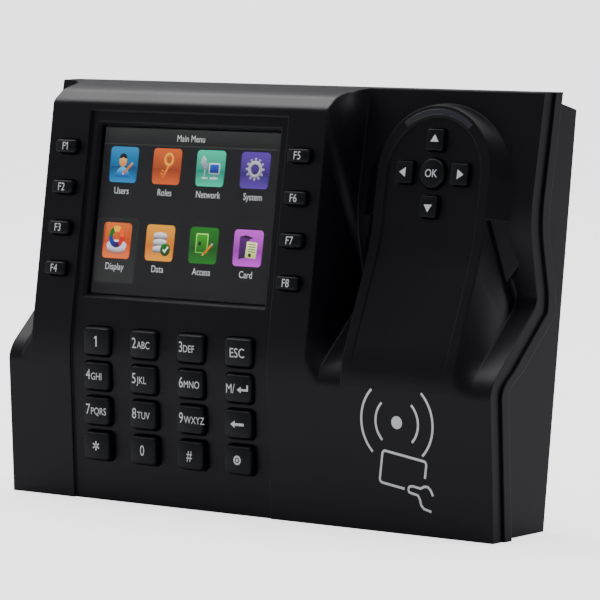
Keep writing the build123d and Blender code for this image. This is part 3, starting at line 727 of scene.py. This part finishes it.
def draw_icon(art, index, x, y):
    """One simple picture on a menu tile."""
    if index == 0:
        art.face([(x - 0.3 + 2.9 * math.cos(math.pi * i / 16), y - 4.2 + 3.2 * math.sin(math.pi * i / 16))
                  for i in range(17)], (130, 222, 246), 4, (40, 140, 200))
        art.ring(x - 0.4, y + 0.9, 1.55, 0, (246, 220, 180), 5, (226, 180, 130), flat=1.25)
        art.ring(x - 0.4, y + 1.7, 1.6, 0.4, (50, 36, 26), 6, start=0, end=180, steps=12)
        pencil(art, x + 1.9, y - 1.3, 7)
    elif index == 1:
        art.ring(x + 0.7, y + 1.9, 2.0, 1.1, (255, 226, 110), 4, (232, 170, 40), flat=1.1)
        art.face([(x + 0.5, y + 0.2), (x + 1.3, y + 0.4), (x - 1.0, y - 4.2), (x - 1.9, y - 3.9)], (250, 200, 80), 4,
                 (226, 150, 30))
        for step in (0.0, 1.0):
            art.box(x - 1.9 + step * 0.4, y - 2.6 + step, 1.1, 0.5, (240, 180, 60), 4, turn=-20)
    elif index == 2:
        art.ring(x - 1.7, y + 1.6, 2.3, 0, (236, 240, 244), 4, (150, 160, 170), start=120, end=300, flat=1.0, steps=16)
        art.face([(x - 2.9, y + 3.6), (x - 0.5, y - 0.4), (x - 3.4, y + 0.6)], (220, 226, 232), 5, (170, 180, 190))
        art.box(x - 2.5, y + 2.9, 1.8, 0.25, (240, 244, 248), 6, turn=-45)
        art.box(x + 1.6, y - 0.3, 4.4, 3.5, (238, 242, 246), 6, (190, 200, 212), 0.3)
        art.box(x + 1.6, y - 0.3, 3.5, 2.6, (60, 150, 226), 7, (20, 70, 160))
        art.box(x + 1.6, y - 2.6, 0.9, 1.2, (180, 190, 200), 5)
        art.box(x + 1.6, y - 3.3, 3.2, 0.6, (226, 232, 238), 6, corner=0.25)
        art.box(x - 2.2, y - 1.9, 0.5, 2.6, (200, 206, 214), 4)
        art.box(x - 2.0, y - 3.3, 2.4, 0.5, (226, 232, 238), 5, corner=0.2)
    elif index == 3:
        art.ring(x, y, 2.7, 1.25, (240, 240, 246), 5, (150, 148, 166))
        for turn in range(0, 360, 30):
            art.box(*polar(3.05, turn, x, y), 1.1, 0.8, (226, 226, 236), 4, (160, 158, 176), 0.1, turn)
        art.ring(x, y, 1.6, 1.25, (120, 116, 140), 6)
    elif index == 4:
        for i, colour in enumerate(((230, 30, 40), (250, 150, 20), (255, 220, 40), (40, 170, 60), (20, 110, 200),
                                    (120, 50, 160))):
            art.ring(x - 0.2, y + 0.9, 3.1, 1.5, colour, 6, start=-60 + 60 * i, end=60 * i, steps=8, flat=1.12)
        art.ring(x, y - 1.8, 4.1, 0, (250, 250, 252), 4, (196, 206, 220), flat=0.42)
        for i in range(-4, 5):
            drop = 0.35 * (i / 4) ** 2
            art.box(x + 0.85 * i, y - 3.4 + 1.2 * drop, 0.55, 2.2 - drop, (246, 248, 252), 5, (110, 126, 150))
    elif index == 5:
        for step in range(3):
            art.box(x, y - 2.6 + step * 2.1, 5.4, 1.5, (232, 234, 238), 4, (150, 152, 158), 0.5)
            art.ring(x, y - 1.95 + step * 2.1, 2.7, 0, (252, 252, 254), 5, (206, 208, 214), flat=0.3)
        art.ring(x + 2.4, y - 2.3, 2.0, 0, (60, 180, 70), 6, (10, 110, 30))
        art.box(x + 2.0, y - 2.7, 0.5, 1.3, WHITE, 7, turn=45)
        art.box(x + 2.8, y - 2.2, 0.5, 2.2, WHITE, 7, turn=-40)
    elif index == 6:
        art.box(x - 0.7, y + 0.4, 4.9, 6.2, (214, 246, 170), 4, (150, 214, 90), 0.4)
        art.box(x - 0.7, y + 0.4, 4.1, 5.4, (120, 200, 70), 5, (70, 160, 40), 0.3)
        art.box(x - 1.5, y + 0.3, 1.0, 1.2, (20, 70, 20), 6)
        pencil(art, x + 1.9, y - 1.3, 7)
    else:
        art.face([(x - 3.4, y + 3.2), (x + 0.4, y + 2.5), (x + 0.4, y - 3.0), (x - 3.4, y - 3.8)], (150, 60, 170), 4,
                 (96, 20, 120))
        art.face([(x - 3.4, y + 3.2), (x - 0.9, y + 3.7), (x + 2.0, y + 2.9), (x + 0.4, y + 2.5)], (90, 20, 110), 5)
        art.box(x + 1.4, y - 0.8, 4.2, 5.0, (250, 252, 222), 6, (222, 230, 170), 0.3, -4)
        for i in range(4):
            art.box(x + 1.6, y + 0.9 - 0.75 * i, 2.8, 0.25, (110, 130, 70), 7, turn=-4)
        art.box(x + 0.9, y - 2.4, 1.2, 1.0, (60, 80, 40), 7, turn=-4)


# Operators

class TERMINAL_OT_finishes(bpy.types.Operator):
    """Makes every finish and gives it to the CAD pieces of its slot"""
    bl_idname = "terminal.finishes"
    bl_label = "Finishes"

    def execute(self, context):
        case, keys = context.scene.terminal_case, context.scene.terminal_keys
        grain_group()
        edge_group()
        dust_group()
        cover = tuple(case.cover_colour)
        made = {
            "cover_plastic": moulded("cover_plastic", cover, case.roughness, case.edge_round, 1500.0, 0.012),
            "housing_plastic": moulded("housing_plastic", tuple(case.housing_colour), case.roughness + 0.06,
                                       case.edge_round * 0.8, 1200.0, 0.02),
            "plug_plastic": moulded("plug_plastic", cover, 0.45, 0.0002, 1500.0, 0.01),
            "key_plastic": moulded("key_plastic", tuple(keys.cap_colour), 0.42, 0.0, 1800.0, 0.010, 0.02, 0.5),
            "mat_rubber": moulded("mat_rubber", (0.04, 0.04, 0.045), 0.7, 0.0003, 1500.0, 0.03),
            "switch_plastic": moulded("switch_plastic", (0.02, 0.02, 0.022), 0.5, 0.0001, 1500.0, 0.02),
            "chip_plastic": moulded("chip_plastic", (0.012, 0.012, 0.013), 0.55, 0.0001, 3000.0, 0.02),
            "terminal_plastic": moulded("terminal_plastic", (0.03, 0.16, 0.06), 0.4, 0.0003, 1500.0, 0.02),
            "battery_wrap": moulded("battery_wrap", (0.05, 0.14, 0.34), 0.35, 0.0005, 900.0, 0.02),
            "lamp_plastic": moulded("lamp_plastic", (0.028, 0.029, 0.034), 0.22, 0.0003, 1500.0, 0.004, 0.0),
            "led_plastic": moulded("led_plastic", (0.75, 0.75, 0.70), 0.25, 0.0001, 1500.0, 0.004, 0.0),
            "plate_steel": metal("plate_steel", (0.56, 0.57, 0.58), 0.36),
            "screw_steel": metal("screw_steel", (0.48, 0.48, 0.49), 0.30, (500.0, 500.0, 500.0)),
            "lcd_metal": metal("lcd_metal", (0.60, 0.61, 0.62), 0.32),
            "shield_metal": metal("shield_metal", (0.66, 0.66, 0.67), 0.30),
            "cell_metal": metal("cell_metal", (0.62, 0.62, 0.63), 0.24, (400.0, 400.0, 400.0)),
            "can_metal": metal("can_metal", (0.50, 0.50, 0.53), 0.28, (600.0, 600.0, 600.0)),
            "speaker_metal": metal("speaker_metal", (0.40, 0.40, 0.41), 0.35, (700.0, 700.0, 700.0)),
            "coil_copper": metal("coil_copper", (0.72, 0.34, 0.17), 0.30, (900.0, 60.0, 900.0)),
            "board_green": circuit_finish(),
            "window_glass": glass_finish(),
            "lcd_glass": moulded("lcd_glass", (0.003, 0.003, 0.004), 0.2, 0.0, 1500.0, 0.002, 0.0, 0.0),
        }
        print_finish("legend_ink", tuple(keys.legend_colour))
        print_finish("mark_ink", (0.74, 0.75, 0.77))
        picture_finish(context.scene.terminal_screen.glow)
        for entry in frame["record"]["subparts"]:
            data = nodes[entry["node"]].data
            data.materials.clear()
            data.materials.append(made[entry["material_slot"]])
        return {"FINISHED"}


class TERMINAL_OT_number_keys(bpy.types.Operator):
    """Builds the sixteen keys of the number pad with their legends"""
    bl_idname = "terminal.number_keys"
    bl_label = "Number keys"

    def execute(self, context):
        keys = context.scene.terminal_keys
        for name in PAD_LEGENDS:
            node = f"key_{name}"
            matrix = front_of(node, PAD_TILT)[0] @ Matrix.Translation((0, 0, -2 * PRINT))
            grow_key(node, matrix, {
                "Width": keys.pad_width, "Height": keys.pad_height, "Corner": keys.pad_corner,
                "Shoulder": keys.shoulder, "Drop": 1.5 * MM, "Depth": 4.6 * MM - 2 * PRINT})
            art = Artwork()
            legend_pen(art, name, keys)
            print_legend(node, matrix, art)
        return {"FINISHED"}


class TERMINAL_OT_function_keys(bpy.types.Operator):
    """Builds the eight keys beside the display with their legends"""
    bl_idname = "terminal.function_keys"
    bl_label = "Function keys"

    def execute(self, context):
        keys = context.scene.terminal_keys
        for number in range(1, 9):
            node = f"key_f{number}"
            matrix = front_of(node, PANEL_TILT)[0]
            grow_key(node, matrix, {
                "Width": keys.fn_width, "Height": keys.fn_height, "Corner": keys.fn_corner,
                "Shoulder": 0.55 * MM, "Drop": 1.0 * MM, "Depth": 4.4 * MM})
            art = Artwork()
            wide = art.words(f"F{number}", 0, -1.25, 2.5, WHITE, 0, 0.86)
            if number == 1:
                flag(art, wide / 2 - 0.3, 1.25)
            print_legend(node, matrix, art)
        return {"FINISHED"}


class TERMINAL_OT_arrow_keys(bpy.types.Operator):
    """Builds the four arrow keys and the middle button"""
    bl_idname = "terminal.arrow_keys"
    bl_label = "Arrow keys"

    def execute(self, context):
        keys = context.scene.terminal_keys
        centre = front_of("key_ok", NAV_TILT)[0]
        grow_key("key_ok", centre, {
            "Width": 2 * keys.ok_radius, "Height": 2 * keys.ok_radius, "Corner": keys.ok_radius + 0.4 * MM,
            "Shoulder": 0.6 * MM, "Drop": 0.8 * MM, "Depth": 3.3 * MM})
        art = Artwork()
        art.words("OK", 0, -1.2, 2.4, WHITE, 0, 0.9)
        print_legend("key_ok", centre, art)
        for name, turn in (("up", 0), ("left", 90), ("down", 180), ("right", 270)):
            node = f"key_{name}"
            shell = bmesh.new()
            shell.from_mesh(nodes[node].data)
            bmesh.ops.remove_doubles(shell, verts=shell.verts, dist=1e-6)
            bmesh.ops.dissolve_limit(shell, angle_limit=math.radians(1), verts=shell.verts, edges=shell.edges)
            piece = new_object(f"{node}_cap", mesh_from(shell, node))
            soften = piece.modifiers.new("soften", "BEVEL")
            soften.width = 0.3 * MM
            soften.segments = 3
            soften.angle_limit = math.radians(50)
            piece.data = plain_mesh(piece)
            piece.modifiers.clear()
            piece.data.materials.clear()
            piece.data.materials.append(bpy.data.materials["key_plastic"])
            hand_key(piece, node)
            art = Artwork()
            art.face([turned(x, y, turn) for x, y in ((-1.5, -0.6), (1.5, -0.6), (0, 1.7))], WHITE)
            print_legend(node, front_of(node, NAV_TILT)[0], art)
        return {"FINISHED"}


class TERMINAL_OT_display(bpy.types.Operator):
    """Builds the display's window and the menu that it shows"""
    bl_idname = "terminal.display"
    bl_label = "Display"

    def execute(self, context):
        screen = context.scene.terminal_screen
        wide, high = screen.width / MM, screen.height / MM
        matrix = front_of("lcd_panel", PANEL_TILT)[0]
        art = Artwork()
        art.box(0, 0, wide, high, (3, 3, 4), 0)
        bar = high * 0.098
        art.box(0, high / 2 - bar / 2, wide, bar, (104, 108, 104), 1, (34, 36, 34))
        art.box(0, high / 2 - bar, wide, 0.35, (120, 126, 120), 2)
        art.words("Main Menu", 0, high / 2 - bar * 0.72, 2.1, (226, 228, 226), 3)
        tile = screen.tile / MM
        for index, (low, top) in enumerate(TILES):
            column, row = index % 4, index // 4
            x = (column - 1.5) * wide / 4
            y = high / 2 - (11.7 + 24.0 * row)
            if index == 4:
                art.box(x, y - 3.3, tile + 5.2, tile + 9.2, (112, 114, 112), 1, (34, 36, 34), 1.4)
                art.box(x, y - 3.3, tile + 4.6, tile + 8.6, (52, 54, 52), 2, (100, 104, 100), 1.2)
            art.box(x, y, tile, tile, top, 2, low, 1.3)
            art.box(x, y - tile * 0.27, tile - 0.5, tile * 0.44, tuple((a + b) // 2 for a, b in zip(low, top)), 3,
                    top, 1.1)
            draw_icon(art, index, x, y + 0.3)
            art.words(LABELS[index], x, y - tile / 2 - 3.5, 2.15, (228, 230, 232), 3)
        piece = art.finish("screen_menu", matrix @ Matrix.Translation((0, 0, LEVEL)),
                           bpy.data.materials["screen_picture"])
        rides(piece, "casing")
        pane_at, pane = front_of("display_window", PANEL_TILT)
        shell = bmesh.new()
        bmesh.ops.create_cube(shell, size=1.0)
        bmesh.ops.scale(shell, vec=(pane[0], pane[1], 0.5 * MM), verts=shell.verts)
        bmesh.ops.translate(shell, vec=(0, 0, -0.25 * MM), verts=shell.verts)
        bmesh.ops.bevel(shell, geom=shell.edges[:], offset=0.12 * MM, segments=2, affect="EDGES")
        data = mesh_from(shell, "window_pane")
        data.transform(pane_at)
        data.materials.append(bpy.data.materials["window_glass"])
        rides(new_object("window_pane", data), "casing", ["display_window"])
        return {"FINISHED"}


class TERMINAL_OT_card_mark(bpy.types.Operator):
    """Prints the sign that shows where a card is held"""
    bl_idname = "terminal.card_mark"
    bl_label = "Card mark"

    def execute(self, context):
        middle_x = sum(corner.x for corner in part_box("key_ok")) / 2
        foot_y = min(v.co.y for v in nodes["front_cover"].data.vertices if v.co.z < 1e-5)
        out = across(FOOT_TILT)[2]
        matrix = facing(Vector((middle_x, foot_y, 0.0)) + out * 2 * PRINT, FOOT_TILT)
        runs = [[polar(radius, side + WAVE_SPREAD * (i / 12 - 1), y=WAVE_CENTRE) for i in range(25)]
                for radius in WAVE_RADII for side in (0.0, 180.0)]

        def card(u, v):
            x, y = turned(u, v, CARD_TURN)
            return CARD_AT[0] + x, CARD_AT[1] + y

        outline = [card(*polar(CARD_CORNER, quarter + 15 * i, sx * CARD_HALF[0], sy * CARD_HALF[1]))
                   for sx, sy, quarter in ((1, 1, 0), (-1, 1, 90), (-1, -1, 180)) for i in range(7)]
        runs.append([card(8.1, -0.2)] + outline + [card(1.2, -4.9)])
        hand = [(3.7, 13.8), (4.2, 14.6), (5.4, 14.8), (8.2, 14.3), (9.6, 15.0), (10.9, 15.0), (11.9, 14.1),
                (12.7, 12.4)]
        fingers = [(3.7, 13.8), (4.0, 12.9), (5.2, 12.6), (7.2, 12.2), (7.9, 11.0), (8.3, 9.3), (9.3, 8.3),
                   (12.0, 7.6)]
        runs += [hand, fingers]
        points, edges = [], []
        for run in runs:
            edges += [(len(points) + i, len(points) + i + 1) for i in range(len(run) - 1)]
            points += [(x * MM, z * MM, 0.0) for x, z in run]
        drawing = bpy.data.meshes.new("card_drawing")
        drawing.from_pydata(points, edges, [])
        ink = bpy.data.materials["mark_ink"]
        width = context.scene.terminal_case.mark_line
        lines = grown("card_mark_lines", "printed_line", {"Width": width, "Material": ink}, drawing)
        flip = bmesh.new()
        flip.from_mesh(lines.data)
        for face in flip.faces:
            if face.normal.z < 0:
                face.normal_flip()
        flip.to_mesh(lines.data)
        flip.free()
        lines.data.transform(matrix)
        rides(lines, "casing")
        art = Artwork()
        art.ring(0, WAVE_CENTRE, 1.95, 0, WHITE, 0, steps=40)
        rides(art.finish("card_mark_dot", matrix, ink), "casing")
        return {"FINISHED"}


class TERMINAL_OT_case_screws(bpy.types.Operator):
    """Builds the four screws that hold the halves of the casing"""
    bl_idname = "terminal.case_screws"
    bl_label = "Case screws"

    def execute(self, context):
        data = nodes["case_screws"].data
        right, _, ahead = across(BACK_TILT)
        out = -ahead
        turn = Matrix((right, out.cross(right), out)).transposed().to_euler()
        rise = 2.52 * MM
        middle = sum(corner.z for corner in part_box("case_screws")) / 2
        for level, label in ((-1, "low"), (1, "high")):
            pair, length = [], 0.0
            for side in (-1, 1):
                near = [v.co for v in data.vertices if v.co.x * side > 0 and (v.co.z - middle) * level > 0]
                reach = [co.dot(out) for co in near]
                head = [co for co in near if co.dot(out) > max(reach) - 0.1 * MM]
                pair.append(tuple((sum(head, Vector()) / len(head)) - out * rise))
                length = max(reach) - min(reach) - rise
            drawing = bpy.data.meshes.new("screw_spots")
            drawing.from_pydata(pair, [], [])
            piece = grown(f"case_screws_{label}", "case_screw", {
                "Turn": tuple(turn), "Rise": rise, "Length": length, "Arms": context.scene.terminal_case.screw_slots,
                "Material": bpy.data.materials["screw_steel"]}, drawing)
            shade(piece.data)
            rides(piece, "casing", ["case_screws"])
        return {"FINISHED"}


class TERMINAL_OT_stage(bpy.types.Operator):
    """Sets the floor, the soft lights and the camera"""
    bl_idname = "terminal.stage"
    bl_label = "Stage"

    def execute(self, context):
        stage = context.scene.terminal_stage
        half = stage.floor_size / 2
        data = bpy.data.meshes.new("floor")
        corners = [(-half, -half, 0), (half, -half, 0), (half, half, 0), (-half, half, 0)]
        data.from_pydata(corners, [], [(0, 1, 2, 3)])
        material, tree, shader = new_material("floor_paint")
        out = effect(tree, "moulded_grain", {"Scale": 300.0, "Patch Scale": 3.0})
        colour = tuple(stage.floor_colour)
        seen = add_node(tree, "ShaderNodeLightPath").outputs["Is Camera Ray"]
        feed(tree, shader, {"Base Color": blended(tree, out["Patch"], tuple(c * 0.98 for c in colour), colour),
                            "Emission Strength": times(tree, seen, stage.backdrop),
                            "Emission Color": (1.0, 1.0, 1.0, 1.0), "Roughness": 0.9, "Specular IOR Level": 0.2})
        data.materials.append(material)
        floor = new_object("floor", data)

        world = bpy.data.worlds.new("studio")
        world.use_nodes = True
        context.scene.world = world
        tree = world.node_tree
        seen = add_node(tree, "ShaderNodeLightPath").outputs["Is Camera Ray"]
        feed(tree, tree.nodes["Background"], {
            "Color": (0.90, 0.89, 1.0, 1.0),
            "Strength": math_node(tree, "MULTIPLY_ADD", seen, 1.0 + stage.backdrop, stage.sky)})

        for name, power, size, place, aim in (
                ("top_softbox", stage.top_light, (0.7, 0.5), (-0.62, 0.18, 0.86), (0, 0, 0.05)),
                ("left_softbox", stage.side_light, (0.5, 0.9), (-0.95, -0.35, 0.55), (0, 0, 0.06)),
                ("right_strip", stage.edge_light, (0.15, 0.9), (0.85, 0.35, 0.45), (0, 0, 0.06))):
            light = bpy.data.lights.new(name, "AREA")
            light.shape = "RECTANGLE"
            light.size, light.size_y = size
            light.energy = power
            lamp = new_object(name, light)
            lamp.location = place
            lamp.rotation_euler = (Vector(aim) - Vector(place)).to_track_quat("-Z", "Y").to_euler()

        sun = bpy.data.lights.new("overhead", "SUN")
        sun.energy = stage.sun
        sun.angle = math.radians(70)
        new_object("overhead", sun).rotation_euler = (math.radians(-12), math.radians(-8), 0)

        camera = bpy.data.cameras.new("camera")
        camera.lens = stage.lens
        camera.sensor_width = 36.0
        camera.clip_end = 100.0
        eye = new_object("camera", camera)
        eye.location = (0.7374, -0.9459, 0.1753)
        look = Vector((-0.01294, 0.03125, 0.06254)) - Vector(eye.location)
        eye.rotation_euler = look.to_track_quat("-Z", "Y").to_euler()
        context.scene.camera = eye
        return {"FINISHED"}


class TERMINAL_PT_panel(bpy.types.Panel):
    """Lists the terminal's settings and the operators that build it"""
    bl_idname = "TERMINAL_PT_panel"
    bl_label = "Terminal"
    bl_space_type = "VIEW_3D"
    bl_region_type = "UI"
    bl_category = "Terminal"

    def draw(self, context):
        for group in GROUPS:
            settings = getattr(context.scene, group)
            box = self.layout.box()
            for name in settings.__annotations__:
                box.prop(settings, name)
        for operator in OPERATORS:
            self.layout.operator(operator.bl_idname)


OPERATORS = (TERMINAL_OT_finishes, TERMINAL_OT_number_keys, TERMINAL_OT_function_keys, TERMINAL_OT_arrow_keys,
             TERMINAL_OT_display, TERMINAL_OT_card_mark, TERMINAL_OT_case_screws, TERMINAL_OT_stage)
GROUPS = {"terminal_keys": TerminalKeySettings, "terminal_case": TerminalCaseSettings,
          "terminal_screen": TerminalScreenSettings, "terminal_stage": TerminalStageSettings}


def register():
    for group in GROUPS.values():
        bpy.utils.register_class(group)
    for operator in (*OPERATORS, TERMINAL_PT_panel):
        bpy.utils.register_class(operator)
    for name, group in GROUPS.items():
        setattr(bpy.types.Scene, name, PointerProperty(type=group))


def unregister():
    for name in GROUPS:
        delattr(bpy.types.Scene, name)
    for operator in (TERMINAL_PT_panel, *reversed(OPERATORS)):
        bpy.utils.unregister_class(operator)
    for group in GROUPS.values():
        bpy.utils.unregister_class(group)


def main():
    """Builds everything in order."""
    register()
    for build in (key_tree, line_tree, screw_tree):
        build()
    bpy.ops.terminal.finishes()
    bpy.ops.terminal.number_keys()
    bpy.ops.terminal.function_keys()
    bpy.ops.terminal.arrow_keys()
    bpy.ops.terminal.display()
    bpy.ops.terminal.card_mark()
    bpy.ops.terminal.case_screws()
    bpy.ops.terminal.stage()


if __name__ == "__main__":
    main()
